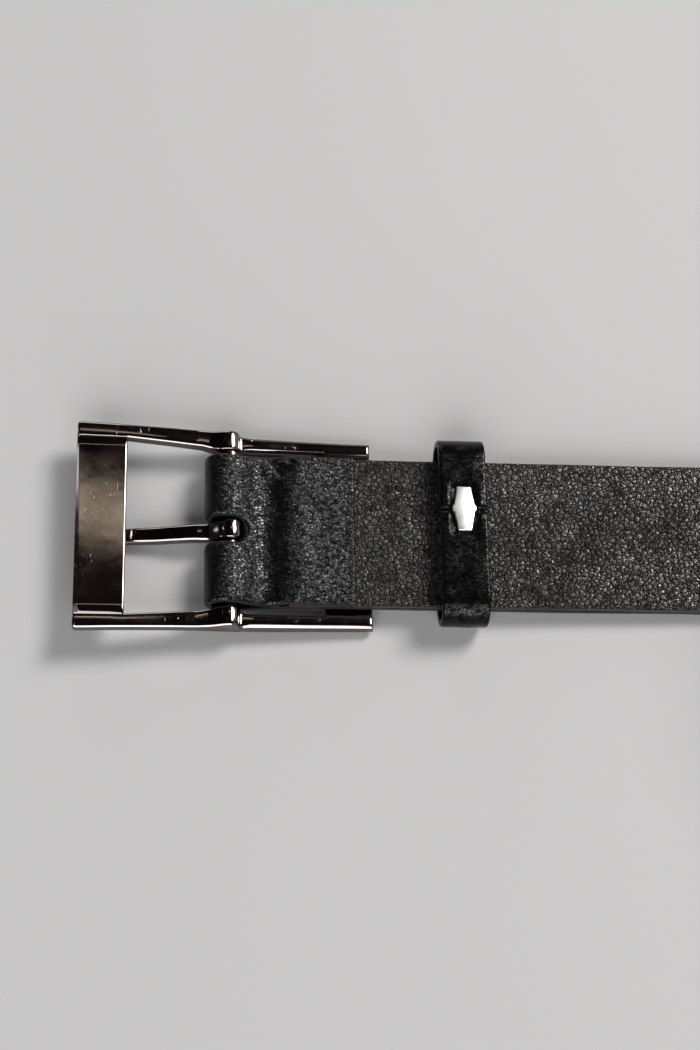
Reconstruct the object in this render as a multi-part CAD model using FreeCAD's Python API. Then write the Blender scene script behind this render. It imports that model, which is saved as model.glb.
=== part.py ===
import FreeCAD, Part
import os
import math
from FreeCAD import Vector as V

# Leather dress belt, 35 mm wide, lying face down with the tail rolled up.
# Local frame while modelling: pin axis along Y near X = 0, table at Z = 0,
# strap runs towards +X. Everything is shifted by X_SHIFT on export so that
# the origin is the bottom centre of the whole belt.

# ---------------------------------------------------------------- dimensions
STRAP_W = 35.0        # strap width
T_FACE = 1.6          # face leather
T_CORE = 0.9          # stiffening board
T_LINE = 1.1          # lining leather
T_STRAP = T_FACE + T_CORE + T_LINE
EDGE = STRAP_W / 2.0

SLOPE = 0.030         # fall of the strap from the rear bar to the table, mm/mm
Z_REF_X = 52.5        # X where the strap's face side stands Z_REF high
Z_REF = 2.5
X_ROLL = 185.0        # where the roll starts to climb
R_ROLL = 37.4         # outer radius of the roll
PITCH = 4.2           # radial pitch of the roll
HALF_TURNS = 12       # half turns in the roll
END_ANGLE = 60.0      # last part turn, degrees

Z_PIN = 6.0           # pin axis height
X_PIN = -0.5          # pin axis
R_PIN = 1.6           # centre pin radius
PIN_HALF = 22.4       # pin half length
Y_BUCKLE = 0.5        # buckle sits this far off the strap's centre line

LOOP_XL = -6.4        # leftmost point of the leather loop
LOOP_BOT = 1.8        # lowest point of the leather loop
LOOP_TOP = 10.2       # highest point of the leather loop
X_LINE_END = 12.4     # where core and lining start, under the turned-back end
X_FOLD_END = 27.4     # edge of the turned-back end
T_FOLD_END = 1.0      # skived thickness of the turned-back end

SLOT_W = 6.3          # prong slot in the loop
SLOT_Y = -0.3         # slot centre
SLOT_TOP_X = 3.5      # slot end on the upper run
SLOT_BOT_X = 5.0      # slot end on the lower run

FRONT_X = -35.0       # outer edge of the front bar
PLATE_X = -23.8       # inner edge of the front bar
REAR_X = 31.2         # outer edge of the rear bar
REAR_BAR_X = 20.6     # inner edge of the rear bar
W_FRONT = 49.3        # outer width at the front bar
W_KNEE = 47.3         # outer width at the knee
W_BOSS = 46.7         # outer width at the bosses
W_REAR = 44.9         # outer width at the rear bar
IN_FRONT = 20.9       # half width of the front window at the bar
IN_KNEE = 19.6
IN_BOSS = 18.6        # half width between the bosses
IN_REAR = 19.4        # half width of the rear window
BOSS_R = 2.1
BEVEL_0 = 0.4         # bevel along the front bar, narrow end
BEVEL_1 = 1.3         # wide end

PRONG_Y = 0.0         # prong's centre line
PRONG_W0 = 4.1        # prong width at the base
PRONG_W1 = 3.4        # prong width at the tip
EYE_R = 2.95          # knuckle round the pin
EYE_BORE = R_PIN + 0.06
EYE_W = 4.8

KEEP_X = 51.2         # keeper centre
KEEP_W = 10.6         # keeper band width
KEEP_T = 1.5          # keeper leather thickness
KEEP_IN_H = 8.6       # inside height, room for the strap and the tucked tail
KEEP_GAP = 0.5        # clearance under the strap
KEEP_IN_HALF = 20.6   # inside half width
SEAM_Y = 3.5          # butt seam of the keeper
SEAM = 0.35

STAPLE_L = 10.8       # staple length across the seam
STAPLE_W = 5.4        # width at the middle
STAPLE_W_END = 3.0
STAPLE_T = 0.7
STAPLE_LEG = 0.9

HOLE_R = 2.0          # buckle holes
HOLE_PITCH = 25.0
HOLES = 5
TIP_TO_HOLE = 85.0    # tip to the nearest hole

X_SHIFT = -(FRONT_X + X_ROLL + R_ROLL) / 2.0
Y_SHIFT = -Y_BUCKLE

os.makedirs("parts", exist_ok=True)


def out(shape, name):
    s = shape.copy()
    s.translate(V(X_SHIFT, Y_SHIFT, 0))
    s.exportStep("parts/" + name + ".step")
    print(name, "solids", len(s.Solids), "vol %.1f" % s.Volume, "valid", s.isValid(),
          "box", [round(c, 2) for c in (s.BoundBox.XMin, s.BoundBox.YMin, s.BoundBox.ZMin,
                                        s.BoundBox.XMax, s.BoundBox.YMax, s.BoundBox.ZMax)])


# ------------------------------------------------------------ strap centre path
# The path is the face side (outer side) of the strap, as a list of tangent
# line and arc pieces, so each ply is an exact offset of it.
ang = math.atan(SLOPE)


def z_face(x):
    return Z_REF - (x - Z_REF_X) * SLOPE


X_TOUCH = Z_REF_X + Z_REF / SLOPE          # where the slope meets the table
BEND_R = 900.0
bend = BEND_R * math.tan(ang / 2.0)
P_STRAIGHT = (X_TOUCH - bend * math.cos(ang), z_face(X_TOUCH - bend * math.cos(ang)))
P_FLAT = (X_TOUCH + bend, 0.0)


class Path(object):
    """Face-side path: pieces are ('L', p0, p1) or ('A', centre, r, a0, a1)."""

    def __init__(self):
        self.parts = []

    def line(self, p0, p1):
        self.parts.append(("L", p0, p1))

    def arc(self, c, r, a0, a1):
        self.parts.append(("A", c, r, a0, a1))


# Strap from X = X0 to the tip. "d" offsets towards the lining side.
spine = Path()
spine.line((X_LINE_END, z_face(X_LINE_END)), P_STRAIGHT)
spine.arc((P_FLAT[0], BEND_R), BEND_R, -90.0 - math.degrees(ang), -90.0)
spine.line(P_FLAT, (X_ROLL, 0.0))
zc = R_ROLL
r = R_ROLL
a = -90.0
for k in range(HALF_TURNS):
    spine.arc((X_ROLL, zc), r, a, a + 180.0)
    # next half turn is smaller, tangent at the top or the bottom
    step = PITCH / 2.0
    zc = zc + step if k % 2 == 0 else zc - step
    r -= step
    a += 180.0
spine.arc((X_ROLL, zc), r, a, a + END_ANGLE)
LAST = (X_ROLL, zc, r, a, a + END_ANGLE)


def pt(c, r_, deg):
    t = math.radians(deg)
    return (c[0] + r_ * math.cos(t), c[1] + r_ * math.sin(t))


def edges_of(path, d, reverse=False):
    """Edges of the path offset by d towards the lining side."""
    es = []
    for p in path.parts:
        if p[0] == "L":
            (x0, z0), (x1, z1) = p[1], p[2]
            L = math.hypot(x1 - x0, z1 - z0)
            nx, nz = -(z1 - z0) / L, (x1 - x0) / L
            q0 = V(x0 + nx * d, 0, z0 + nz * d)
            q1 = V(x1 + nx * d, 0, z1 + nz * d)
            es.append(Part.LineSegment(q0, q1).toShape())
        else:
            c, rr, a0, a1 = p[1], p[2], p[3], p[4]
            am = 0.5 * (a0 + a1)
            q = [pt(c, rr - d, t) for t in (a0, am, a1)]
            es.append(Part.Arc(V(q[0][0], 0, q[0][1]), V(q[1][0], 0, q[1][1]),
                               V(q[2][0], 0, q[2][1])).toShape())
    return es


def ends(es):
    return es[0].Vertexes[0].Point, es[-1].Vertexes[-1].Point


def extrude_y(wire_edges, y0, y1):
    w = Part.Wire(Part.__sortEdges__(wire_edges))
    f = Part.Face(w)
    f.translate(V(0, y0, 0))
    return f.extrude(V(0, y1 - y0, 0))


def band(path, d0, d1, y0, y1):
    """Solid between two offsets of the path."""
    e0 = edges_of(path, d0)
    e1 = edges_of(path, d1)
    s0, t0 = Part.Wire(e0).OrderedVertexes[0].Point, Part.Wire(e0).OrderedVertexes[-1].Point
    s1, t1 = Part.Wire(e1).OrderedVertexes[0].Point, Part.Wire(e1).OrderedVertexes[-1].Point
    all_e = e0 + [Part.LineSegment(t0, t1).toShape()] + e1 + [Part.LineSegment(s1, s0).toShape()]
    return extrude_y(all_e, y0, y1)


# ------------------------------------------------------------------ loop of face
# Face leather: the lower run comes from the strap, goes round the pin and its
# end is turned back over core and lining.
def spl(pts, t0=None, t1=None):
    c = Part.BSplineCurve()
    kw = {}
    if t0 is not None:
        kw = {"InitialTangent": V(t0[0], 0, t0[1]), "FinalTangent": V(t1[0], 0, t1[1])}
    c.interpolate([V(x, 0, z) for x, z in pts], **kw)
    return c.toShape()


SL = (-1.0, SLOPE)
NRM = math.hypot(1.0, SLOPE)


def off(x, d):
    """Point d above the face side of the strap, square to it, from X = x."""
    return (x + SLOPE / NRM * d, z_face(x) + d / NRM)


def zt_at(x, d):
    """Height at X = x of the line d above the face side."""
    return z_face(x) + d * NRM


# outer skin of the loop, from the lower run at X_LINE_END round to the top
ARC_R = (LOOP_TOP - LOOP_BOT) / 2.0                      # outer radius of the loop
ARC_CX = LOOP_XL + ARC_R
ARC_CZ = (LOOP_TOP + LOOP_BOT) / 2.0
x_b = ARC_CX
ZF0 = z_face(X_LINE_END)
outer_low = spl([(X_LINE_END, ZF0), (8.0, 3.2), (3.5, 2.25), (x_b, LOOP_BOT)], SL, (-1.0, 0.0))
outer_arc = Part.Arc(V(ARC_CX, 0, LOOP_BOT), V(LOOP_XL, 0, ARC_CZ), V(ARC_CX, 0, LOOP_TOP)).toShape()
T2 = T_FACE + T_CORE + T_LINE
Z_CREST = zt_at(X_LINE_END, T2 + T_FACE) + 0.02
Z_UNDER = zt_at(X_FOLD_END, T2)
Z_END = Z_UNDER + T_FOLD_END
P0, P1, P2 = off(X_LINE_END, 0.0), off(X_LINE_END, T_FACE), off(X_LINE_END, T2)
outer_top = spl([(ARC_CX, LOOP_TOP), (1.6, 9.55), (4.6, 8.15), (7.4, 7.42), (9.3, 7.72), (10.9, 8.58), (X_LINE_END, Z_CREST),
                 (X_LINE_END + 4.4, Z_CREST - 0.20), (X_FOLD_END, Z_END)],
                (1.0, 0.0), (1.0, -SLOPE - 0.02))
end_edge = Part.LineSegment(V(X_FOLD_END, 0, Z_END), V(X_FOLD_END, 0, Z_UNDER)).toShape()
under = Part.LineSegment(V(X_FOLD_END, 0, Z_UNDER), V(P2[0], 0, P2[1])).toShape()
step = Part.LineSegment(V(P2[0], 0, P2[1]), V(P1[0], 0, P1[1])).toShape()
# inside of the loop: cavity round the pin
CAV_X = 7.2
cav_a = spl([(CAV_X, 4.75), (3.4, 3.86), (ARC_CX, LOOP_BOT + T_FACE)], (-1.0, -0.24), (-1.0, 0.0))
cav_arc = Part.Arc(V(ARC_CX, 0, LOOP_BOT + T_FACE), V(LOOP_XL + T_FACE, 0, ARC_CZ),
                   V(ARC_CX, 0, LOOP_TOP - T_FACE)).toShape()
cav_b = spl([(ARC_CX, LOOP_TOP - T_FACE), (1.2, 8.02), (3.9, 6.78), (CAV_X, 5.55)], (1.0, 0.0), (1.0, -0.30))
cav_tip = Part.LineSegment(V(CAV_X, 0, 5.55), V(CAV_X, 0, 4.75)).toShape()

# loop body: outer boundary minus cavity, then joined to the long face ply
loop_outer = [outer_low, outer_arc, outer_top, end_edge, under, step,
              Part.LineSegment(V(P1[0], 0, P1[1]), V(P0[0], 0, P0[1])).toShape()]
loop_solid = extrude_y(loop_outer, -EDGE, EDGE)
cavity = extrude_y([cav_a, cav_arc, cav_b, cav_tip], -EDGE - 1, EDGE + 1)
loop_solid = loop_solid.cut(cavity)

# slot for the prong, with rounded ends, cut through the top and lower runs
def slot_prism(x_end, z0, z1):
    h = SLOT_W / 2.0
    xc = x_end - h
    b = Part.makeBox(xc + 20.0, SLOT_W, z1 - z0, V(-20.0, -h, z0))
    c = Part.makeCylinder(h, z1 - z0, V(xc, 0, z0), V(0, 0, 1))
    return b.fuse(c)


slot = slot_prism(SLOT_TOP_X, Z_PIN, Z_PIN + 10).fuse(slot_prism(SLOT_BOT_X, Z_PIN - 10, Z_PIN))
slot.translate(V(0, SLOT_Y, 0))
loop_solid = loop_solid.cut(slot)

face = band(spine, 0.0, T_FACE, -EDGE, EDGE)
face = face.fuse(loop_solid).removeSplitter()
core = band(spine, T_FACE, T_FACE + T_CORE, -EDGE, EDGE)
lining = band(spine, T_FACE + T_CORE, T_STRAP, -EDGE, EDGE)

# ------------------------------------------------------------- tip and holes
# Arc length along the middle of the strap, measured back from the tip.
def locate(s_back):
    """Point, direction angle and radius on the roll at s_back from the tip."""
    left = s_back
    for p in reversed(spine.parts):
        if p[0] != "A" or p[2] > 500:
            break
        c, rr, a0, a1 = p[1], p[2], p[3], p[4]
        rm = rr - T_STRAP / 2.0
        L = math.radians(a1 - a0) * rm
        if left <= L:
            deg = a1 - math.degrees(left / rm)
            return c, rr, deg
        left -= L
    raise ValueError("hole lies outside the roll")


cutters = []
for i in range(HOLES):
    c, rr, deg = locate(TIP_TO_HOLE + i * HOLE_PITCH)
    t = math.radians(deg)
    d = V(math.cos(t), 0, math.sin(t))
    p0 = V(c[0], 0, c[1]) + d * (rr - T_STRAP - 0.25)
    cutters.append(Part.makeCylinder(HOLE_R, T_STRAP + 0.5, p0, d))

# pointed tip: the end tapers over the last part turn
cx, cz_, rl, la0, la1 = LAST
tip_len = 16.0
tip_deg = math.degrees(tip_len / (rl - T_STRAP / 2.0))
N = 8
for sgn in (-1, 1):
    for i in range(N):
        f0 = i / float(N)
        am = la1 - tip_deg * (1 - (i + 1) / float(N))
        a_in = la1 - tip_deg * (1 - f0)
        u = (i + 1) / float(N)
        half = EDGE - (EDGE - 5.0) * (u ** 1.9)
        # wedge from a_in to la1+2, beyond half width
        q = [pt((cx, cz_), rl - T_STRAP - 0.3, t) for t in (a_in, la1 + 1.5)]
        o = [pt((cx, cz_), rl + 0.3, t) for t in (a_in, la1 + 1.5)]
        am2 = 0.5 * (a_in + la1 + 1.5)
        qi = pt((cx, cz_), rl - T_STRAP - 0.3, am2)
        oi = pt((cx, cz_), rl + 0.3, am2)
        es = [Part.Arc(V(o[0][0], 0, o[0][1]), V(oi[0], 0, oi[1]), V(o[1][0], 0, o[1][1])).toShape(),
              Part.LineSegment(V(o[1][0], 0, o[1][1]), V(q[1][0], 0, q[1][1])).toShape(),
              Part.Arc(V(q[1][0], 0, q[1][1]), V(qi[0], 0, qi[1]), V(q[0][0], 0, q[0][1])).toShape(),
              Part.LineSegment(V(q[0][0], 0, q[0][1]), V(o[0][0], 0, o[0][1])).toShape()]
        if sgn > 0:
            cutters.append(extrude_y(es, half, EDGE + 1))
        else:
            cutters.append(extrude_y(es, -EDGE - 1, -half))

plies = []
for s in (face, core, lining):
    for c in cutters:
        s = s.cut(c)
    plies.append(s)
face, core, lining = plies

out(face, "face_leather")
out(core, "strap_core")
out(lining, "lining_leather")

# -------------------------------------------------------------- buckle frame
def plan(points, z0=-5, z1=20):
    w = Part.makePolygon([V(x, y, z0) for x, y in points] + [V(points[0][0], points[0][1], z0)])
    return Part.Face(w).extrude(V(0, 0, z1 - z0))


def prism_xz(points, y0, y1):
    w = Part.makePolygon([V(x, y0, z) for x, z in points] + [V(points[0][0], y0, points[0][1])])
    return Part.Face(w).extrude(V(0, y1 - y0, 0))


hf, hk, hb, hr = W_FRONT / 2, W_KNEE / 2, W_BOSS / 2, W_REAR / 2
half_out = [(FRONT_X, hf), (-7.1, hk), (-0.6, hb), (1.2, hb), (2.2, hb - 0.25), (6.5, hb - 0.35), (REAR_X, hr)]
outline = [(x, -y) for x, y in half_out] + [(x, y) for x, y in reversed(half_out)]
body = plan(outline)
win_f = plan([(PLATE_X, -IN_FRONT), (-7.0, -IN_KNEE), (-3.4, -IN_BOSS), (2.0, -IN_BOSS), (2.0, IN_BOSS),
              (-3.4, IN_BOSS), (-7.0, IN_KNEE), (PLATE_X, IN_FRONT)])
win_r = plan([(1.4, -IN_BOSS), (2.4, -IN_REAR), (REAR_BAR_X, -IN_REAR), (REAR_BAR_X, IN_REAR), (2.4, IN_REAR), (1.4, IN_BOSS)])
ring = body.cut(win_f).cut(win_r)
# side profile: front arms rise towards the front bar, rear arms lie lower
TOP = [(FRONT_X, 10.3), (-26.0, 9.75), (-14.0, 8.6), (-8.0, 7.9), (-5.0, 7.85), (-3.2, 8.15), (-1.8, 8.5), (-0.8, 8.55),
       (0.2, 8.35), (0.9, 7.8), (1.35, 6.8), (1.55, 5.7), (2.2, 5.5), (4.5, 5.45), (8.0, 5.2), (16.0, 4.5), (REAR_X, 3.5)]
BOT = [(FRONT_X, 7.4), (-26.0, 6.85), (-14.0, 5.6), (-8.0, 4.7), (-3.0, 3.6), (0.0, 3.0), (4.0, 2.1), (8.0, 1.7),
       (REAR_X, 0.5)]
side = prism_xz(TOP + list(reversed(BOT)), -40, 40)
frame = ring.common(side)
# the flat of the front bar stands a little lower than the arms
frame = frame.cut(prism_xz([(FRONT_X - 1, 9.95 + 0.06), (PLATE_X + 0.5, 9.30 - 0.06 - 0.05), (PLATE_X + 0.5, 14), (FRONT_X - 1, 14)],
                           -IN_FRONT - 0.25, IN_FRONT + 0.25))
# rear bar is thinner than the arms so that the strap lies on it
relief = Part.makeBox(20.0, 2 * IN_REAR - 0.6, 5.0, V(REAR_BAR_X - 1.0, -IN_REAR + 0.3, 2.75))
frame = frame.cut(relief)
for s in (-1, 1):
    y0 = IN_BOSS if s > 0 else -hb
    L = hb - IN_BOSS
    boss = Part.makeCylinder(BOSS_R, L, V(X_PIN, y0, Z_PIN), V(0, 1, 0))
    frame = frame.fuse(boss)
frame = frame.removeSplitter()
# blind seats for the pin
seat = Part.makeCylinder(R_PIN, 2 * PIN_HALF, V(X_PIN, -PIN_HALF, Z_PIN), V(0, 1, 0))
frame = frame.cut(seat)
# bevel along the front bar's outer edge, wider towards one end
ZB = 10.1
tri = []
for y, q in ((IN_FRONT, BEVEL_0), (-IN_FRONT, BEVEL_1)):
    tri.append([V(FRONT_X - 0.5, y, ZB + 0.8), V(FRONT_X - 0.5, y, ZB - q - 0.5), V(FRONT_X + q + 0.8, y, ZB + 0.8)])
a3, b3 = tri
wedge = []
for ring_pts in (a3, b3, [a3[0], a3[1], b3[1], b3[0]], [a3[1], a3[2], b3[2], b3[1]], [a3[2], a3[0], b3[0], b3[2]]):
    wedge.append(Part.Face(Part.makePolygon(ring_pts + [ring_pts[0]])))
wedge = Part.Solid(Part.makeShell(wedge))
if wedge.Volume < 0:
    wedge.reverse()
frame = frame.cut(wedge)
try:
    sel = [e for e in frame.Edges if e.Length > 6.0 and abs(e.BoundBox.XMax - FRONT_X) < 0.01]
    fr2 = frame.makeFillet(0.7, sel)
    if fr2.isValid():
        frame = fr2
except Exception as ex:
    print("front fillet skipped", ex)
frame.translate(V(0, Y_BUCKLE, 0))
out(frame, "buckle_frame")

# ------------------------------------------------------------------ centre pin
pin = Part.makeCylinder(R_PIN, 2 * PIN_HALF, V(X_PIN, -PIN_HALF + Y_BUCKLE, Z_PIN), V(0, 1, 0))
out(pin, "centre_pin")

# ----------------------------------------------------------------------- prong
pr_top = [(-1.0, 8.3), (-3.0, 8.0), (-4.1, 7.15), (-5.4, 6.4), (-6.6, 6.15), (-8.4, 6.2), (-10.5, 5.85), (-17.0, 4.4),
          (-24.0, 3.55), (-30.0, 3.75), (-33.0, 4.5), (-33.7, 4.75)]
pr_bot = [(-34.0, 3.4), (-33.0, 2.75), (-30.0, 1.75), (-24.0, 1.15), (-17.0, 1.9), (-9.6, 3.4), (-5.2, 3.8), (-1.0, 3.6)]
prof = [V(x, 0, z) for x, z in pr_top + pr_bot]
w = Part.makePolygon(prof + [prof[0]])
pr_side = Part.Face(w)
pr_side.translate(V(0, -5, 0))
pr_side = pr_side.extrude(V(0, 10, 0))
w0, w1 = PRONG_W0 / 2, PRONG_W1 / 2
pr_plan = plan([(0, -w0), (-8, -w0), (-30, -w1), (-33.2, -w1 + 0.5), (-34.2, -w1 + 1.4),
                (-34.2, w1 - 1.4), (-33.2, w1 - 0.5), (-30, w1), (-8, w0), (0, w0)])
prong = pr_side.common(pr_plan)
eye = Part.makeCylinder(EYE_R, EYE_W, V(X_PIN, -EYE_W / 2, Z_PIN), V(0, 1, 0))
# the knuckle is rounded off in plan on its far side
x_r = X_PIN + EYE_R - EYE_W / 2
he = EYE_W / 2 - 0.02
plan_eye = Part.Face(Part.Wire([
    Part.LineSegment(V(-8, he, 0), V(-8, -he, 0)).toShape(), Part.LineSegment(V(-8, -he, 0), V(x_r, -he, 0)).toShape(),
    Part.Arc(V(x_r, -he, 0), V(x_r + he, 0, 0), V(x_r, he, 0)).toShape(),
    Part.LineSegment(V(x_r, he, 0), V(-8, he, 0)).toShape()])).extrude(V(0, 0, 12))
eye = eye.common(plan_eye)
prong = prong.fuse(eye).removeSplitter()
prong = prong.cut(Part.makeCylinder(EYE_BORE, 20, V(X_PIN, -10, Z_PIN), V(0, 1, 0)))
prong.translate(V(0, PRONG_Y, 0))
out(prong, "prong")

# ---------------------------------------------------------------------- keeper
# Loop of leather with round ends, butt-jointed on the back side.
zi0 = Z_REF - KEEP_GAP
zi1 = zi0 + KEEP_IN_H
ri = KEEP_IN_H / 2.0
ro = ri + KEEP_T
zcen = (zi0 + zi1) / 2.0
yc = KEEP_IN_HALF - ri


def stadium(rad):
    e = [Part.LineSegment(V(0, -yc, zcen - rad), V(0, yc, zcen - rad)).toShape(),
         Part.Arc(V(0, yc, zcen - rad), V(0, yc + rad, zcen), V(0, yc, zcen + rad)).toShape(),
         Part.LineSegment(V(0, yc, zcen + rad), V(0, -yc, zcen + rad)).toShape(),
         Part.Arc(V(0, -yc, zcen + rad), V(0, -yc - rad, zcen), V(0, -yc, zcen - rad)).toShape()]
    f = Part.Face(Part.Wire(e))
    f.translate(V(KEEP_X - KEEP_W / 2.0, 0, 0))
    return f.extrude(V(KEEP_W, 0, 0))


keeper = stadium(ro).cut(stadium(ri))
keeper = keeper.cut(Part.makeBox(KEEP_W + 2, SEAM, 6, V(KEEP_X - KEEP_W / 2 - 1, SEAM_Y - SEAM / 2, zi1 - 1)))
# two slits that take the staple's legs
leg_y = [SEAM_Y - STAPLE_L / 2 + 0.6, SEAM_Y + STAPLE_L / 2 - 0.6 - STAPLE_LEG]
legs = []
for y in leg_y:
    legs.append(Part.makeBox(1.8, STAPLE_LEG, KEEP_T + 0.9, V(KEEP_X - 0.9, y, zi1 - 0.6)))
for l in legs:
    keeper = keeper.cut(l)
tilt_c = V(KEEP_X, 0, Z_REF)
tilt = math.degrees(ang)

# staple: pointed plate over the seam, two legs clinched inside
a2, b2, c2 = STAPLE_L / 2, STAPLE_W / 2, STAPLE_W_END / 2
pl = [(-c2, -a2), (c2, -a2), (b2 - 0.1, -1.9), (b2, -0.5), (b2 + 0.25, -0.5), (b2 + 0.25, 0.5), (b2, 0.5),
      (b2 - 0.1, 1.9), (c2, a2), (-c2, a2), (-b2 + 0.1, 1.9), (-b2, 0.5), (-b2 - 0.25, 0.5), (-b2 - 0.25, -0.5),
      (-b2, -0.5), (-b2 + 0.1, -1.9)]
zt = zi1 + KEEP_T
w = Part.makePolygon([V(KEEP_X + x, SEAM_Y + y, zt) for x, y in pl + [pl[0]]])
staple = Part.Face(w).extrude(V(0, 0, STAPLE_T))
for i, y in enumerate(leg_y):
    staple = staple.fuse(Part.makeBox(1.8, STAPLE_LEG, KEEP_T + 0.5, V(KEEP_X - 0.9, y, zi1 - 0.5)))
    # clinched end, folded towards the seam under the top wall
    yy = y if i == 0 else y - 1.6
    staple = staple.fuse(Part.makeBox(1.8, STAPLE_LEG + 1.6, 0.5, V(KEEP_X - 0.9, yy, zi1 - 0.5)))
staple = staple.removeSplitter()
for s in (keeper, staple):
    s.rotate(tilt_c, V(0, 1, 0), tilt)
out(keeper, "keeper_loop")
out(staple, "keeper_staple")

print("X_SHIFT", X_SHIFT, "Y_SHIFT", Y_SHIFT)
L = 0.0
for p in spine.parts:
    if p[0] == "L":
        L += math.hypot(p[2][0] - p[1][0], p[2][1] - p[1][1])
    else:
        L += math.radians(abs(p[4] - p[3])) * (p[2] - T_STRAP / 2.0)
print("length pin to tip %.0f mm" % (L + X_LINE_END - X_PIN), "last radius %.2f" % LAST[2])
print("pin to middle hole %.0f mm" % (L + X_LINE_END - X_PIN - TIP_TO_HOLE - (HOLES // 2) * HOLE_PITCH))
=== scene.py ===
import math

import bmesh
import bpy
import numpy as np
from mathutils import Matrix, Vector, noise


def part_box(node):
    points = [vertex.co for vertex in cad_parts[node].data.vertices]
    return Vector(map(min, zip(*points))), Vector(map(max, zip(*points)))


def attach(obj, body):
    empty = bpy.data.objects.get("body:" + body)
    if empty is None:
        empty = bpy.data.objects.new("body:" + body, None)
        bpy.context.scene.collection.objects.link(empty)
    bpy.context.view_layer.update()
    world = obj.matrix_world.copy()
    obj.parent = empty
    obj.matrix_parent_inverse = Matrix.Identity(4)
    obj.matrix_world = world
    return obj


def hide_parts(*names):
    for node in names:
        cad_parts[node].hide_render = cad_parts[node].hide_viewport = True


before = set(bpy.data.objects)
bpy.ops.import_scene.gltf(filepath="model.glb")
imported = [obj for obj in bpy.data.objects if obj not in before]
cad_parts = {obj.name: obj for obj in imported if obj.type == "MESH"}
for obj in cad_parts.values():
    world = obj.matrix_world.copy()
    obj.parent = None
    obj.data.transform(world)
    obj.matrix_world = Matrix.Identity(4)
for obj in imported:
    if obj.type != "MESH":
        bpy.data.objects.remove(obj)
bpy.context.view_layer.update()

# ---------------------------------------------------------------- where things are
# Design millimetres: the pin axis is at X = -0.5, the strap's centre line at
# Y = 0 and the table at Z = 0. K turns them into the frame's metres.
X_PIN = -0.5
_pl, _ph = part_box("centre_pin")
_fl, _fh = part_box("face_leather")
PX, PZ = (_pl.x + _ph.x) / 2 - X_PIN / 1000.0, (_pl.z + _ph.z) / 2
PY = (_pl.y + _ph.y) / 2
SY = (_fl.y + _fh.y) / 2
BUCKLE_Y = (PY - SY) * 1000.0
Z_PIN = PZ * 1000.0
W = (_fh.y - _fl.y) * 500.0          # half width of the strap, mm
T_FACE, T_CORE, T_LINE = 1.6, 0.9, 1.1
T_ALL = T_FACE + T_CORE + T_LINE
SLOPE = 0.030
X_ROLL, R_ROLL, PITCH, HALF_TURNS, END_ANGLE = 185.0, 37.4, 4.2, 12, 60.0
X_LINE_END, X_FOLD_END = 12.4, 27.4


def K(a):
    """Design mm (n x 3) to metres in the frame."""
    a = np.asarray(a, float)
    return a / 1000.0 + np.array([PX, SY, 0.0])


def add_mesh(name, verts, faces, smooth=True):
    me = bpy.data.meshes.new(name)
    me.from_pydata([tuple(v) for v in K(verts)], [], [tuple(int(i) for i in f) for f in faces])
    me.validate(verbose=False)
    ob = bpy.data.objects.new(name, me)
    bpy.context.scene.collection.objects.link(ob)
    bm = bmesh.new()
    bm.from_mesh(me)
    bmesh.ops.recalc_face_normals(bm, faces=bm.faces)
    bm.to_mesh(me)
    bm.free()
    me.polygons.foreach_set("use_smooth", [smooth] * len(me.polygons))
    me.update()
    return ob


def n3(x, y, z):
    return noise.noise(Vector((x, y, z)))


def smooth01(t):
    t = np.clip(t, 0.0, 1.0)
    return t * t * (3 - 2 * t)


# ---------------------------------------------------------------- strap path
def z_face(x):
    return 2.5 - (x - 52.5) * SLOPE


def clamped_spline(pts, t0, t1, step):
    """Cubic curve through pts with given end directions, resampled evenly."""
    p = np.array(pts, float)
    n = len(p)
    d = np.linalg.norm(np.diff(p, axis=0), axis=1)
    t = np.concatenate([[0], np.cumsum(d)])
    A = np.zeros((n, n))
    b = np.zeros((n, 2))
    A[0, 0] = A[-1, -1] = 1
    b[0] = np.array(t0) / np.linalg.norm(t0)
    b[-1] = np.array(t1) / np.linalg.norm(t1)
    for i in range(1, n - 1):
        h0, h1 = d[i - 1], d[i]
        A[i, i - 1], A[i, i], A[i, i + 1] = h1, 2 * (h0 + h1), h0
        b[i] = 3 * (h1 * (p[i] - p[i - 1]) / h0 + h0 * (p[i + 1] - p[i]) / h1)
    m = np.linalg.solve(A, b)
    out = []
    for i in range(n - 1):
        k = max(2, int(d[i] / step))
        for j in range(k):
            s = j / k
            h = d[i]
            out.append((2 * s**3 - 3 * s**2 + 1) * p[i] + (s**3 - 2 * s**2 + s) * h * m[i]
                       + (-2 * s**3 + 3 * s**2) * p[i + 1] + (s**3 - s**2) * h * m[i + 1])
    out.append(p[-1])
    return np.array(out)


def arc_pts(c, r, a0, a1, step):
    n = max(4, int(abs(math.radians(a1 - a0)) * r / step))
    a = np.radians(np.linspace(a0, a1, n + 1))
    return np.stack([c[0] + r * np.cos(a), c[1] + r * np.sin(a)], 1)


LOOP_XL, LOOP_BOT, LOOP_TOP = -6.4, 1.8, 10.2
ARC_R = (LOOP_TOP - LOOP_BOT) / 2
ARC_CX, ARC_CZ = LOOP_XL + ARC_R, (LOOP_TOP + LOOP_BOT) / 2
NRM = math.hypot(1, SLOPE)
Z_CREST = z_face(X_LINE_END) + (T_ALL + T_FACE) * NRM + 0.02
Z_END = z_face(X_FOLD_END) + T_ALL * NRM + 1.0
TOP_RUN = clamped_spline([(ARC_CX, LOOP_TOP), (1.6, 9.55), (4.6, 8.15), (7.4, 7.42), (9.3, 7.72), (10.9, 8.58),
                          (X_LINE_END, Z_CREST), (X_LINE_END + 4.4, Z_CREST - 0.20), (X_FOLD_END, Z_END)],
                         (1, 0), (1, -SLOPE - 0.02), 0.1)
LOW_RUN = clamped_spline([(ARC_CX, LOOP_BOT), (3.5, 2.25), (8.0, 3.2), (X_LINE_END, z_face(X_LINE_END))], (1, 0), (1, -SLOPE), 0.1)


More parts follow.
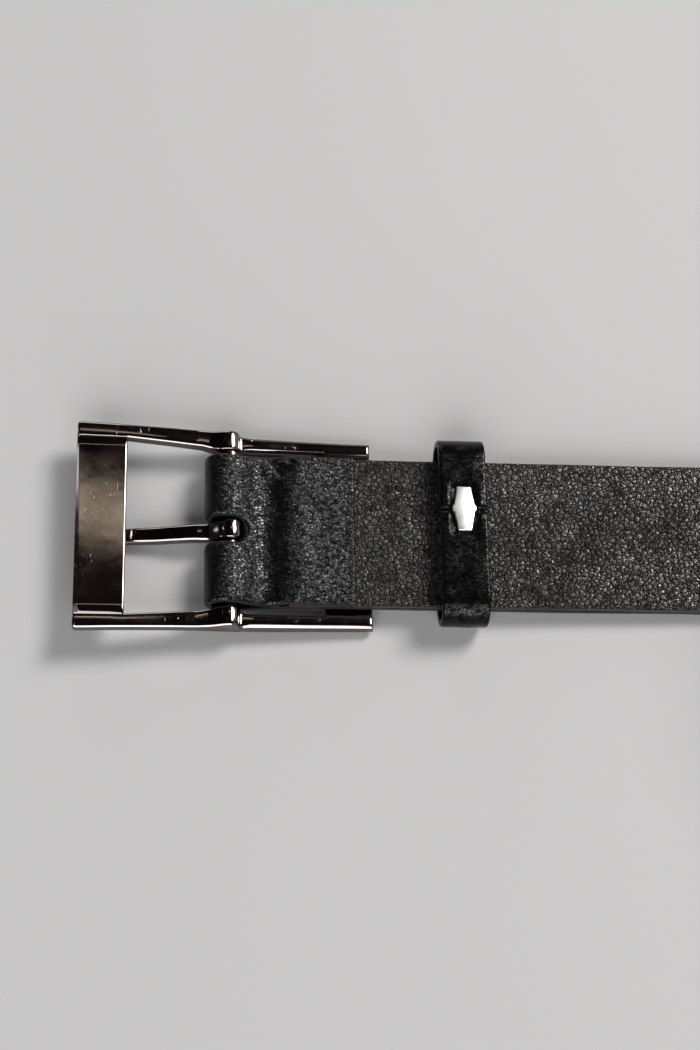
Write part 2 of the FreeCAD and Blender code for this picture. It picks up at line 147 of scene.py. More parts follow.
def spine_polyline():
    ang = math.atan(SLOPE)
    x_touch = 52.5 + 2.5 / SLOPE
    R = 900.0
    bend = R * math.tan(ang / 2)
    p_s = (x_touch - bend * math.cos(ang), z_face(x_touch - bend * math.cos(ang)))
    p_f = (x_touch + bend, 0.0)
    seg = [np.linspace((X_LINE_END, z_face(X_LINE_END)), p_s, 200)]
    seg.append(arc_pts((p_f[0], R), R, -90 - math.degrees(ang), -90, 0.5))
    seg.append(np.linspace(p_f, (X_ROLL, 0.0), 40))
    zc, r, a = R_ROLL, R_ROLL, -90.0
    for k in range(HALF_TURNS):
        seg.append(arc_pts((X_ROLL, zc), r, a, a + 180, 0.25))
        zc += PITCH / 2 if k % 2 == 0 else -PITCH / 2
        r -= PITCH / 2
        a += 180
    seg.append(arc_pts((X_ROLL, zc), r, a, a + END_ANGLE, 0.25))
    out = [seg[0]]
    for s in seg[1:]:
        out.append(s[1:])
    return np.concatenate(out)


def with_arclen(p):
    d = np.linalg.norm(np.diff(p, axis=0), axis=1)
    keep = np.concatenate([[True], d > 1e-6])
    p = p[keep]
    d = np.linalg.norm(np.diff(p, axis=0), axis=1)
    return p, np.concatenate([[0], np.cumsum(d)])


class Curve(object):
    """Outer skin line in XZ with arc length, tangent and outward normal."""

    def __init__(self, p):
        self.p, self.s = with_arclen(p)
        t = np.gradient(self.p, self.s, axis=0)
        t /= np.linalg.norm(t, axis=1)[:, None]
        self.t = t
        self.L = self.s[-1]

    def at(self, s):
        s = np.clip(s, 0, self.L)
        x = np.interp(s, self.s, self.p[:, 0])
        z = np.interp(s, self.s, self.p[:, 1])
        tx = np.interp(s, self.s, self.t[:, 0])
        tz = np.interp(s, self.s, self.t[:, 1])
        n = np.sqrt(tx * tx + tz * tz)
        tx, tz = tx / n, tz / n
        return x, z, tz, -tx          # outward normal = tangent turned clockwise


SPINE = spine_polyline()
face_line = np.concatenate([TOP_RUN[::-1], arc_pts((ARC_CX, ARC_CZ), ARC_R, 90, 270, 0.1)[1:], LOW_RUN[1:], SPINE[1:]])
FACE = Curve(face_line)
BACK = Curve(SPINE)
# arc lengths of a few places on the face curve
U_TOP = with_arclen(TOP_RUN)[1][-1]                       # left end of the top run
U_ARC = U_TOP + math.pi * ARC_R
U_LOW = U_ARC + with_arclen(LOW_RUN)[1][-1]               # the spine starts here


def u_on_top(x):
    m = FACE.s <= U_TOP
    return float(np.interp(-x, -FACE.p[m, 0], FACE.s[m]))


def u_on_low(x):
    m = (FACE.s >= U_ARC) & (FACE.s <= U_LOW)
    return float(np.interp(x, FACE.p[m, 0], FACE.s[m]))


# ---------------------------------------------------------------- sheet builder
def graded(a, b, step):
    n = max(1, int(round((b - a) / step)))
    return list(np.linspace(a, b, n + 1))[:-1]


class Sheet(object):
    """A closed leather sheet: a (u, v) grid with optional round-ended holes,
    an outer and an inner skin, rounded rims, mapped onto a curve."""

    def __init__(self, us, vs, holes):
        # holes: (u0, u1, v0, radius, block half width in v, u margin)
        us, vs = np.array(us), np.array(vs)
        self.uv, self.quads, self.rims = [], [], []
        index = {}
        block_cells = set()
        blocks = []
        for h in holes:
            u0, u1, v0, rad, bv, bu = h
            ia = int(np.argmin(abs(us - (u0 - bu))))
            ib = int(np.argmin(abs(us - (u1 + bu))))
            ja = int(np.argmin(abs(vs - (v0 - bv))))
            jb = int(np.argmin(abs(vs - (v0 + bv))))
            blocks.append((ia, ib, ja, jb, h))
            for i in range(ia, ib):
                for j in range(ja, jb):
                    block_cells.add((i, j))

        def vert(i, j):
            if (i, j) not in index:
                index[(i, j)] = len(self.uv)
                self.uv.append((us[i], vs[j]))
            return index[(i, j)]

        nu, nv = len(us), len(vs)
        for i in range(nu - 1):
            for j in range(nv - 1):
                if (i, j) not in block_cells:
                    self.quads.append((vert(i, j), vert(i + 1, j), vert(i + 1, j + 1), vert(i, j + 1)))
        # outer border, in order
        b = [vert(i, 0) for i in range(nu)] + [vert(nu - 1, j) for j in range(1, nv)]
        b += [vert(i, nv - 1) for i in range(nu - 2, -1, -1)] + [vert(0, j) for j in range(nv - 2, 0, -1)]
        self.rims.append(b)
        self.hole_defs = []
        for ia, ib, ja, jb, h in blocks:
            u0, u1, v0, rad, bv, bu = h
            loop = [(i, ja) for i in range(ia, ib + 1)] + [(ib, j) for j in range(ja + 1, jb + 1)]
            loop += [(i, jb) for i in range(ib - 1, ia - 1, -1)] + [(ia, j) for j in range(jb - 1, ja, -1)]
            ring = [vert(i, j) for i, j in loop]
            P = np.array([self.uv[k] for k in ring])
            c = np.clip(P[:, 0], u0 + rad, u1 - rad) if u1 - u0 > 2 * rad else np.full(len(P), (u0 + u1) / 2)
            Q = np.stack([c, np.full(len(P), v0)], 1)
            D = P - Q
            L = np.linalg.norm(D, axis=1)
            S = Q + D / L[:, None] * rad
            gap = L - rad
            offs = [0.0, 0.04, 0.10, 0.20, 0.34, 0.52, 0.74]
            extra = 4
            rings = []
            for k, o in enumerate(offs):
                rings.append(S + (P - S) * np.minimum(o / gap, 0.9 * (k + 1) / (len(offs) + 1))[:, None])
            last = rings[-1]
            for k in range(1, extra):
                rings.append(last + (P - last) * (k / extra))
            prev = None
            for r_ in rings:
                base = len(self.uv)
                self.uv.extend([tuple(q) for q in r_])
                cur = list(range(base, base + len(r_)))
                if prev is None:
                    self.rims.append(cur)
                else:
                    for k in range(len(cur)):
                        k2 = (k + 1) % len(cur)
                        self.quads.append((prev[k], prev[k2], cur[k2], cur[k]))
                prev = cur
            for k in range(len(ring)):
                k2 = (k + 1) % len(ring)
                self.quads.append((prev[k], prev[k2], ring[k2], ring[k]))
            self.hole_defs.append((u0, u1, v0, rad))
        self.uv = np.array(self.uv)

    def edge_distance(self, hw):
        """Distance of each vertex to the nearest rim, in mm."""
        u, v = self.uv[:, 0], self.uv[:, 1]
        e = np.minimum(W_REF[0] - np.abs(v), 1e9)
        e = np.minimum(e, u - u.min())
        e = np.minimum(e, u.max() - u)
        for u0, u1, v0, rad in self.hole_defs:
            c = np.clip(u, u0 + rad, u1 - rad) if u1 - u0 > 2 * rad else (u0 + u1) / 2
            e = np.minimum(e, np.hypot(u - c, v - v0) - rad)
        return np.maximum(e, 0.0)


W_REF = [W]


def quarter(e, r):
    """How far the skin drops at distance e from a rim rounded to radius r."""
    e = np.clip(e, 0, r)
    return r - np.sqrt(np.maximum(r * r - (r - e) ** 2, 0.0))


def build_sheet(name, sheet, curve, d_out, d_in, r_out, r_in, half_w=None, disp=None, lateral=None, place=None):
    """Skins at depth d_out and d_in under the curve (functions of u, v or
    numbers), rims rounded to r_out and r_in."""
    u, v = sheet.uv[:, 0].copy(), sheet.uv[:, 1].copy()
    e = sheet.edge_distance(None)
    do = d_out(u, v) if callable(d_out) else np.full(len(u), float(d_out))
    di = d_in(u, v) if callable(d_in) else np.full(len(u), float(d_in))
    do = do + quarter(e, r_out)
    di = di - quarter(e, r_in)
    y = v if half_w is None else v * half_w(u) / W_REF[0]
    us = u
    if lateral is not None:
        y = y + lateral(u, v)
    x, z, nx, nz = curve.at(us)
    if disp is not None:
        dd = disp(u, v, x, z)
        do = do - dd
    if place is None:
        out = np.stack([x - nx * do, y, z - nz * do], 1)
        inn = np.stack([x - nx * di, y, z - nz * di], 1)
    else:
        out = place(x - nx * do, y, z - nz * do)
        inn = place(x - nx * di, y, z - nz * di)
    n = len(u)
    faces = [tuple(q) for q in sheet.quads]
    faces += [(q[3] + n, q[2] + n, q[1] + n, q[0] + n) for q in sheet.quads]
    # rim walls with one middle row
    verts = [out, inn]
    base = 2 * n
    for rim in sheet.rims:
        rim = list(rim)
        mid = (out[rim] + inn[rim]) / 2
        verts.append(mid)
        m = len(rim)
        for k in range(m):
            k2 = (k + 1) % m
            faces.append((rim[k], rim[k2], base + k2, base + k))
            faces.append((base + k, base + k2, rim[k2] + n, rim[k] + n))
        base += m
    ob = add_mesh(name, np.concatenate(verts), faces)
    ob["skin"] = n
    return ob


# v lines: fine rows at the rims (the u lines below are finer in the buckle end, for creases)
def v_lines(step, r, w, keep=()):
    rr = [r * (1 - math.cos(t)) for t in np.radians([0, 18, 36, 54, 72, 90])]
    n = int(round(2 * (w - r) / step))
    inner = list(np.linspace(-(w - r), w - r, n + 1))
    lines = [-w + q for q in rr[:-1]] + inner + [w - q for q in reversed(rr[:-1])]
    return sorted(lines)


RIM = 0.62
vs = np.array(v_lines(0.5, RIM, W))
# move the nearest rows onto the slot block's borders
SLOT_Y, SLOT_R = -0.3, 3.15
for target in (SLOT_Y - 4.2, SLOT_Y + 4.2):
    vs[int(np.argmin(abs(vs - target)))] = target
SLOT_U0 = u_on_top(3.5)
SLOT_U1 = u_on_low(5.0)
# tip and punched holes
TIP_TO_HOLE, HOLE_PITCH, HOLES, HOLE_R = 85.0, 25.0, 5, 2.0


def hole_us(curve):
    """Arc length on the skin line of each hole, measured along the middle of the strap from the tip."""
    # middle-of-strap length element: ds * (r - T/2) / r
    t = curve.t
    ang = np.unwrap(np.arctan2(t[:, 1], t[:, 0]))
    k = np.abs(np.gradient(ang, curve.s))
    mid = np.concatenate([[0], np.cumsum(np.diff(curve.s) * (1 - 0.5 * (k[1:] + k[:-1]) * T_ALL / 2))])
    tot = mid[-1]
    return [float(np.interp(tot - (TIP_TO_HOLE + i * HOLE_PITCH), mid, curve.s)) for i in range(HOLES)]


def u_lines(curve, start_fine, fine_to, holes):
    L = curve.L
    us = []
    if fine_to > 0:
        us += [0, 0.06, 0.16, 0.32, 0.5] + graded(0.75, fine_to, 0.33)
        us += graded(fine_to, fine_to + 20, 1.0)
        pos = fine_to + 20
    else:
        us += [0, 0.06, 0.16, 0.32, 0.5, 0.8]
        pos = 1.2
    us += graded(pos, L - 30, 1.7)
    us += graded(L - 30, L - 0.8, 0.8)
    us += [L - 0.8, L - 0.5, L - 0.32, L - 0.16, L - 0.06, L]
    us = np.array(sorted(us))
    for h in holes:
        a, b = h - 3.4, h + 3.4
        us = us[(us < a - 0.5) | (us > b + 0.5)]
        us = np.concatenate([us, np.linspace(a, b, 9)])
        us.sort()
    return us


def tip_half(curve):
    def f(u):
        q = np.clip((u - (curve.L - 18.0)) / 18.0, 0, 1)
        return W - (W - 4.2) * q ** 2.4
    return f


# ------------------------------------------------------------- face leather
face_holes_u = hole_us(FACE)
us = u_lines(FACE, True, U_LOW + 2.0, face_holes_u)
for target in (SLOT_U0 - 1.2, SLOT_U1 + 1.2):
    us[int(np.argmin(abs(us - target)))] = target
holes = [(SLOT_U0, SLOT_U1, SLOT_Y, SLOT_R, 4.2, 1.2)]
holes += [(h - HOLE_R, h + HOLE_R, 0.0, HOLE_R, 3.4, 1.4) for h in face_holes_u]
face_sheet = Sheet(us, vs, holes)

RIDGE_X = 12.6


def ridge_shift(v):
    """How far the ridge over the lining's cut end strays, along the strap."""
    w = np.zeros_like(v)
    for i, y in enumerate(v):
        w[i] = 0.45 * n3(y * 0.16, 3.1, 0.4) + 0.22 * n3(y * 0.55, 7.7, 1.9)
    w += 1.5 * np.exp(-((v - 4.3) / 0.75) ** 2)                 # notch
    w += 2.6 * smooth01((v - 11.6) / 3.0) * (1 - smooth01((v - 15.4) / 1.6))  # lifted corner
    w -= 0.35 * np.exp(-((v + 3.5) / 2.0) ** 2)
    return w


def face_disp(u, v, x, z):
    """Outward displacement of the leather's outer skin, in mm."""
    d = np.zeros_like(u)
    top = u < U_TOP + 1.5
    xx = np.where(top, x, 0)
    # stray of the ridge: compare the profile at the shifted place
    sh = ridge_shift(v)
    near = top & (xx > 5.5) & (xx < 19.0)
    fade = smooth01((xx - 5.5) / 2.5) * (1 - smooth01((xx - 12.0) / 5.0))
    zi = np.interp(xx - sh * fade, TOP_RUN[:, 0], TOP_RUN[:, 1])
    z0 = np.interp(xx, TOP_RUN[:, 0], TOP_RUN[:, 1])
    d = np.where(near, np.clip(zi - z0, -0.75, 0.5), 0.0)
    # soft unevenness of the hand-folded end
    f = np.where(top, smooth01((xx + 3.0) / 4.0) * (1 - smooth01((xx - 24.5) / 2.9)), 0.0)
    nz = np.array([n3(a * 0.13, b * 0.11, 5.2) * 0.16 + n3(a * 0.42, b * 0.33, 8.3) * 0.07 for a, b in zip(xx, v)])
    d += f * nz
    # creases gather towards the slot
    c = np.clip(u, SLOT_U0 + SLOT_R, SLOT_U1 - SLOT_R)
    e = np.hypot(u - c, v - SLOT_Y) - SLOT_R
    near_slot = np.exp(-(np.maximum(e, 0) / 1.3) ** 2)
    d -= 0.16 * near_slot
    d += 0.10 * np.exp(-((e - 1.5) / 0.7) ** 2)
    # the strap's face side is very slightly uneven
    far = smooth01((u - U_LOW) / 10.0)
    nf = np.array([n3(a * 0.03, b * 0.05, 2.2) for a, b in zip(u, v)])
    d += far * nf * 0.05
    return d


def face_in(u, v):
    t = np.full_like(u, T_FACE)
    q = np.clip((u_on_top(X_FOLD_END - 12.0) - u) / u_on_top(X_FOLD_END - 12.0), 0, 1)
    return t - (T_FACE - 1.0) * q


def side_wave(amp, k, seed):
    def f(u, v):
        e = np.sign(v) * (np.abs(v) / W) ** 3
        nn = np.array([n3(a * k, seed, 0.3 if b > 0 else 4.3) for a, b in zip(u, v)])
        return e * nn * amp
    return f


face_obj = build_sheet("face_leather_skin", face_sheet, FACE, 0.0, face_in, RIM, 0.08, half_w=tip_half(FACE),
                       disp=face_disp, lateral=side_wave(0.16, 0.05, 1.7))

# ------------------------------------------------- core and lining of the strap
back_holes_u = hole_us(BACK)
vs2 = np.array(v_lines(0.7, 0.45, W))
us2 = u_lines(BACK, False, 0, back_holes_u)
holes2 = [(h - HOLE_R, h + HOLE_R, 0.0, HOLE_R, 3.4, 1.4) for h in back_holes_u]
back_sheet = Sheet(us2, vs2, holes2)


def lining_disp(u, v, x, z):
    return np.array([n3(a * 0.06, b * 0.07, 9.2) * 0.06 + n3(a * 0.25, b * 0.25, 3.3) * 0.035 for a, b in zip(u, v)])


def flipped(curve_d):
    return curve_d


# the lining's visible skin is the deep one, so it is built from that side
class Flip(object):
    """The same curve seen from the lining side."""

    def __init__(self, c, depth):
        self.c, self.depth, self.L = c, depth, c.L
        self.s, self.t = c.s, c.t

    def at(self, s):
        x, z, nx, nz = self.c.at(s)
        return x - nx * self.depth, z - nz * self.depth, -nx, -nz


lining_obj = build_sheet("lining_leather_skin", back_sheet, Flip(BACK, T_ALL), 0.0, T_LINE, 0.45, 0.03,
                         half_w=tip_half(BACK), disp=lining_disp, lateral=side_wave(0.12, 0.05, 2.9))
core_obj = build_sheet("strap_core_sheet", back_sheet, BACK, T_FACE, T_FACE + T_CORE, 0.05, 0.05,
                       half_w=lambda u: tip_half(BACK)(u) - 0.12)

# ------------------------------------------------------------------ buckle frame
TOP = np.array([(-35.0, 10.3), (-26.0, 9.75), (-14.0, 8.6), (-8.0, 7.9), (-5.0, 7.85), (-3.2, 8.15), (-2.4, 8.38), (-1.6, 8.52),
                (-0.8, 8.55), (-0.2, 8.47), (0.4, 8.24), (0.8, 7.92), (1.1, 7.5), (1.3, 7.0), (1.42, 6.4), (1.55, 5.7), (1.9, 5.54),
                (4.5, 5.45), (8.0, 5.2), (16.0, 4.5), (31.2, 3.5)])
BOT = np.array([(-35.0, 7.4), (-26.0, 6.85), (-14.0, 5.6), (-8.0, 4.7), (-3.0, 3.6), (0.0, 3.0), (4.0, 2.1), (8.0, 1.7),
                (31.2, 0.5)])
OUTL = np.array([(-35.0, 24.65), (-7.1, 23.65), (-0.6, 23.35), (1.0, 23.33), (2.2, 23.1), (6.5, 23.0), (31.2, 22.45)])
FX0, FX1, RX0, RX1 = -35.0, -23.8, 20.6, 31.2        # front plate and rear bar
FR = 0.62                                            # edge rounding of the frame


def f_at(a, x):
    return np.interp(x, a[:, 0], a[:, 1])


def inner_half(x):
    return np.interp(x, [-35.0, -23.8, -7.0, -3.6, -2.8, 1.35, 2.4, RX0, RX1], [21.05, 20.9, 19.6, 18.75, 18.6, 18.6, 19.4, 19.4, 19.4])


ROUND = [FR * (1 - math.cos(math.radians(a))) for a in (0, 18, 36, 54, 72, 90)]


def r_out(x):
    return float(np.interp(x, [1.4, 4.0, 26.0, 31.2], [0.70, 1.55, 1.35, 1.1]))


def r_inn(x):
    return float(np.interp(x, [1.4, 4.0, 26.0, 31.2], [0.55, 1.05, 0.95, 0.8]))


def r_low(x):
    return 0.95


def bevel_w(y):
    """Width of the bevel along the front bar's outer edge."""
    return 0.4 + 0.9 * min(1.0, max(0.0, (20.9 - y) / 41.8))


CORNER = 0.95


def frame_mesh():
    xs = []
    for a, b in ((FX0, FX1), (FX1, RX0), (RX0, RX1)):
        xs += [a + q for q in ROUND] + graded(a + ROUND[-1], b - ROUND[-1], 0.8) + [b - q for q in ROUND]
    xs += [FX0 + 0.56, FX0 + 0.70, FX0 + 0.95, FX0 + 1.2]
    xs += [x for x in np.arange(-5.0, 8.0, 0.16)]
    xs = np.array(sorted(set(np.round(xs, 3))))
    keep = [0]
    must = set(np.round([FX0, FX1, RX0, RX1], 3))
    for i in range(1, len(xs)):
        if xs[i] in must:
            if xs[i] - xs[keep[-1]] < 0.03 and xs[keep[-1]] not in must:
                keep.pop()
            keep.append(i)
        elif xs[i] - xs[keep[-1]] >= 0.03:
            keep.append(i)
    xs = xs[keep]
    # columns, from the outer edge of the -Y arm to the outer edge of the +Y arm
    fr = [q / FR for q in ROUND]
    cols = [("o", q) for q in fr] + [("m", f) for f in (0.2, 0.4, 0.6, 0.8)] + [("i", q) for q in reversed(fr)]
    n_arm = len(cols)
    NB = 21
    step = 0.20
    ncol = 2 * n_arm + NB

    def arm_y(x, col):
        kind, q = col
        yo, yi = float(f_at(OUTL, x)), float(inner_half(x))
        ro, ri = r_out(x), r_inn(x)
        if kind == "o":
            return yo - q * ro
        if kind == "i":
            return yi + q * ri
        return (yo - ro) + (yi + ri - yo + ro) * q

    def is_arm(j):
        return not (n_arm <= j < n_arm + NB)

    def solid(i, j):
        """Is the cell between stations i, i+1 and columns j, j+1 metal?"""
        if not (0 <= i < len(xs) - 1 and 0 <= j < ncol - 1):
            return False
        if j < n_arm - 1 or j >= n_arm + NB:
            return True
        xm = (xs[i] + xs[i + 1]) / 2
        return xm < FX1 or xm > RX0

    idx, P, tops, bots = {}, [], [], []

    def vid(i, j):
        if (i, j) in idx:
            return idx[(i, j)]
        x = float(xs[i])
        z1, z0 = float(f_at(TOP, x)), float(f_at(BOT, x))
        h = (z1 - z0) / 2
        if is_arm(j):
            s = -1 if j < n_arm else 1
            col = cols[j] if s < 0 else cols[ncol - 1 - j]
            a = arm_y(x, col)
            yo, yi = float(f_at(OUTL, x)), float(inner_half(x))
            t = (a - (yo + yi) / 2) / max((yo - yi) / 2, 0.1)
            z1 -= 0.09 * t * t
            eo, ei = yo - a, a - yi
            ends = min(x - FX0, RX1 - x)
            d1 = max(float(quarter(eo, r_out(x))), float(quarter(max(ends, 0.0), 0.55)))
            d0 = max(float(quarter(eo, r_low(x))), float(quarter(max(ends, 0.0), 0.55)))
            if FX1 <= x <= RX0:
                d1 = max(d1, float(quarter(ei, r_inn(x))))
                d0 = max(d0, float(quarter(ei, 0.5)))
            else:
                near = FX1 - x if x < FX1 else x - RX0
                e = math.hypot(near, ei) if near > 0 else ei
                d1 = max(d1, float(quarter(e, r_inn(x))), 0.16 * math.exp(-((ei / 0.22) ** 2)))
                d0 = max(d0, float(quarter(e, 0.5)))
            y = s * a
            # plan rounding of the two front corners
            ca, cb = x - FX0, eo
            if ca < CORNER and cb < CORNER:
                p, q = CORNER - ca, CORNER - cb
                m, L = max(p, q), math.hypot(p, q)
                if L > 1e-6:
                    p, q = p * m / L, q * m / L
                    x, y = FX0 + CORNER - p, s * (yo - CORNER + q)
        else:
            k = (j - n_arm) / (NB - 1.0)
            yi = float(inner_half(x)) - step
            y = -yi + 2 * yi * k
            front = x < -10
            if front:
                if x < FX0 + 0.75:
                    f = (x - FX0) / 0.62
                    w = bevel_w(y)
                    x = FX0 + min(f, 1.0) * w + (max(f, 1.0) - 1.0) * 0.62
                    drop = max(0.0, w - (x - FX0)) * 0.92
                elif x < FX0 + 2.6:
                    w = bevel_w(y)
                    t = (x - FX0 - 0.70) / 1.9
                    x = (FX0 + w + 0.08) * (1 - t) + (FX0 + 2.6) * t
                    drop = 0.0
                else:
                    drop = 0.0
                z1 = 9.95 + (x - FX0) * (9.30 - 9.95) / 11.2
                # the plate is very slightly dished and dips at its two ends
                z1 -= 0.020 * (y / 20.7) ** 2
                z1 -= 0.10 * math.exp(-(((20.70 - abs(y)) / 0.35) ** 2))
                d1 = max(drop, float(quarter(max(FX1 - x, 0.0), 0.34)))
                d0 = max(float(quarter(max(x - FX0, 0.0), 0.5)), float(quarter(max(FX1 - x, 0.0), 0.5)))
            else:
                z1 = 2.75
                e = max(min(x - RX0, RX1 - x), 0.0)
                d1 = d0 = float(quarter(e, 0.45))
            h = (z1 - z0) / 2
        d1, d0 = min(d1, h * 0.97), min(d0, h * 0.97)
        idx[(i, j)] = len(P)
        P.append((x, y + BUCKLE_Y))
        tops.append(z1 - d1)
        bots.append(z0 + d0)
        return idx[(i, j)]

    quads = []
    border = {}
    for i in range(len(xs) - 1):
        for j in range(ncol - 1):
            if not solid(i, j):
                continue
            q = (vid(i, j), vid(i + 1, j), vid(i + 1, j + 1), vid(i, j + 1))
            quads.append(q)
            for (di, dj, a, b) in ((0, -1, 0, 1), (1, 0, 1, 2), (0, 1, 2, 3), (-1, 0, 3, 0)):
                if not solid(i + di, j + dj):
                    border[(q[a], q[b])] = 1
    n = len(P)
    V = [(P[k][0], P[k][1], tops[k]) for k in range(n)] + [(P[k][0], P[k][1], bots[k]) for k in range(n)]
    F = list(quads) + [(q[3] + n, q[2] + n, q[1] + n, q[0] + n) for q in quads]
    mid = {}
    for (a, b) in border:
        for k in (a, b):
            if k not in mid:
                mid[k] = len(V)
                V.append((P[k][0], P[k][1], (tops[k] + bots[k]) / 2))
        F.append((a, b, mid[b], mid[a]))
        F.append((mid[a], mid[b], b + n, a + n))
    return np.array(V), F


V, F = frame_mesh()
frame_obj = add_mesh("buckle_frame_cast", V, F)


def loft(rings):
    """Closed tube through rings of points (mm)."""
    rings = [np.asarray(r, float) for r in rings]
    n = len(rings[0])
    verts = np.concatenate(rings)
    faces = []
    for i in range(len(rings) - 1):
        for k in range(n):
            k2 = (k + 1) % n
            faces.append((i * n + k, i * n + k2, (i + 1) * n + k2, (i + 1) * n + k))
    faces.append(tuple(range(n))[::-1])
    b = (len(rings) - 1) * n
    faces.append(tuple(b + k for k in range(n)))
    return verts, faces


def rrect(w, h, r_top, r_bot, seg=5):
    """Rounded rectangle about the origin: (across, up) points."""
    pts = []
    for (sx, sz, r, a0) in ((1, 1, r_top, 0), (-1, 1, r_top, 90), (-1, -1, r_bot, 180), (1, -1, r_bot, 270)):
        r = min(r, w * 0.49, h * 0.49)
        for k in range(seg + 1):
            a = math.radians(a0 + 90.0 * k / seg)
            pts.append((sx * (w / 2 - r) + r * math.cos(a), sz * (h / 2 - r) + r * math.sin(a)))
    return pts


def joined(ob, other):
    """Exact union of two closed meshes, kept as one mesh."""
    m = ob.modifiers.new("u", "BOOLEAN")
    m.operation, m.solver, m.object = "UNION", "EXACT", other
    bpy.context.view_layer.update()
    dg = bpy.context.evaluated_depsgraph_get()
    me = bpy.data.meshes.new_from_object(ob.evaluated_get(dg))
    old = ob.data
    ob.modifiers.clear()
    ob.data = me
    bpy.data.meshes.remove(old)
    bpy.data.objects.remove(other, do_unlink=True)
    return ob


def sharp_by_angle(ob, deg):
    bm = bmesh.new()
    bm.from_mesh(ob.data)
    for e in bm.edges:
        if len(e.link_faces) == 2:
            e.smooth = e.calc_face_angle(0.0) < math.radians(deg)
    bm.to_mesh(ob.data)
    bm.free()


# ------------------------------------------------------------------- pin
PIN_R, PIN_HALF = 1.6, 22.4
rings = []
for y, r in [(-PIN_HALF, PIN_R - 0.45), (-PIN_HALF + 0.08, PIN_R - 0.22), (-PIN_HALF + 0.25, PIN_R - 0.05), (-PIN_HALF + 0.45, PIN_R)]:
    rings.append((y, r))
rings += [(y, PIN_R) for y in np.linspace(-PIN_HALF + 1.5, PIN_HALF - 1.5, 12)]
rings += [(-y, r) for y, r in reversed(rings[:4])]
V, F = loft([[(X_PIN + r * math.cos(a), y + BUCKLE_Y, Z_PIN + r * math.sin(a)) for a in np.radians(np.arange(0, 360, 10))]
             for y, r in rings])
pin_obj = add_mesh("centre_pin_rod", V, F)

# ------------------------------------------------------------------- prong
PRONG_Y = 0.0
PT = np.array([(-1.0, 8.3), (-3.0, 8.0), (-4.1, 7.15), (-5.4, 6.4), (-6.6, 6.15), (-8.4, 6.2), (-10.5, 5.85), (-17.0, 4.4),
               (-24.0, 3.55), (-30.0, 3.75), (-33.0, 4.5), (-33.9, 4.72)])
PB = np.array([(-1.0, 3.6), (-5.2, 3.8), (-9.6, 3.4), (-17.0, 1.9), (-24.0, 1.15), (-30.0, 1.75), (-33.0, 2.75),
               (-34.0, 3.35)])


def soft_line(a, x, k=0.6):
    """The polyline a, eased over its corners."""
    off = np.linspace(-k, k, 9)
    w = np.cos(off / k * math.pi / 2) ** 2 + 1e-3
    return float(sum(f * np.interp(-(x + o), -a[:, 0], a[:, 1]) for f, o in zip(w, off)) / w.sum())


def prong_width(x):
    w = np.interp(-x, [1.0, 3.5, 5.2, 7.0, 30.0, 32.0, 33.2, 34.0], [4.5, 4.45, 4.25, 4.05, 3.4, 3.3, 3.05, 2.5])
    return float(w)


rings = []
for x in np.concatenate([np.linspace(-1.8, -8, 18), np.linspace(-8.6, -32.4, 38), [-32.9, -33.3, -33.6, -33.85, -34.02, -34.12, -34.16]]):
    zt, zb = soft_line(PT, max(x, -33.2)), soft_line(PB, max(x, -33.2))
    tip = smooth01((-x - 33.2) / 0.96) if x < -33.2 else 0.0
    q = math.sqrt(max(0.0, 1 - min(1.0, max(0.0, (-x - 33.2) / 0.98)) ** 2))
    h = (zt - zb) * (0.25 + 0.75 * q) if x < -33.2 else (zt - zb)
    zc = (zt + zb) / 2 + (0.35 * (1 - q) if x < -33.2 else 0)
    w = prong_width(x) * (0.45 + 0.55 * q) if x < -33.2 else prong_width(x)
    if h < 0.3:
        h = 0.3
    rings.append([(x, a + PRONG_Y, zc + b) for a, b in rrect(w, h, 0.85, 0.6)])
V, F = loft(rings)
prong_obj = add_mesh("prong_blade", V, F)
# the knuckle, a band bent round the pin and rounded off on its far side
EYE_R, EYE_BORE, EYE_W = 2.95, 1.68, 4.7
ring_pts = []
for a in np.radians(np.arange(0, 360, 5.0)):
    rm = (EYE_R + EYE_BORE) / 2
    ring = []
    for aa, b in rrect(EYE_W, EYE_R - EYE_BORE, 0.75, 0.2, 6):
        # crown across the band
        rr = rm + b - (0.22 * (2 * aa / EYE_W) ** 2 if b > 0 else 0.0)
        x = rr * math.cos(a)
        # the far side is rounded in plan
        xr = EYE_R - EYE_W / 2
        over = 1.0
        if x > xr:
            q = min(1.0, (x - xr) / (EYE_W / 2))
            over = math.sqrt(max(1 - q * q, 0.0)) * 0.80 + 0.20
        ring.append((X_PIN + x, aa * over + PRONG_Y, Z_PIN + rr * math.sin(a)))
    ring_pts.append(ring)
n = len(ring_pts[0])
V = np.concatenate(ring_pts)
F = []
m = len(ring_pts)
for i in range(m):
    i2 = (i + 1) % m
    for k in range(n):
        k2 = (k + 1) % n
        F.append((i * n + k, i * n + k2, i2 * n + k2, i2 * n + k))
eye = add_mesh("eye", V, F)
prong_obj = joined(prong_obj, eye)
sharp_by_angle(prong_obj, 40)

# ------------------------------------------------------------------- keeper
KX, KZ, K_W, K_T = 51.2, 2.5, 10.6, 1.5
K_YC, K_RO = 16.3, 5.8
K_TOP, K_BOT = 12.1, 0.5
SEAM_Y = 3.5
kz_mid = (K_TOP + K_BOT) / 2
kp = [np.linspace((SEAM_Y - 0.17, K_TOP), (-K_YC, K_TOP), 60)]
kp.append(arc_pts((-K_YC, kz_mid), K_RO, 90, 270, 0.15)[1:])
kp.append(np.linspace((-K_YC, K_BOT), (K_YC, K_BOT), 80)[1:])
kp.append(arc_pts((K_YC, kz_mid), K_RO, -90, 90, 0.15)[1:])
kp.append(np.linspace((K_YC, K_TOP), (SEAM_Y + 0.17, K_TOP), 40)[1:])
KEEP = Curve(np.concatenate(kp))


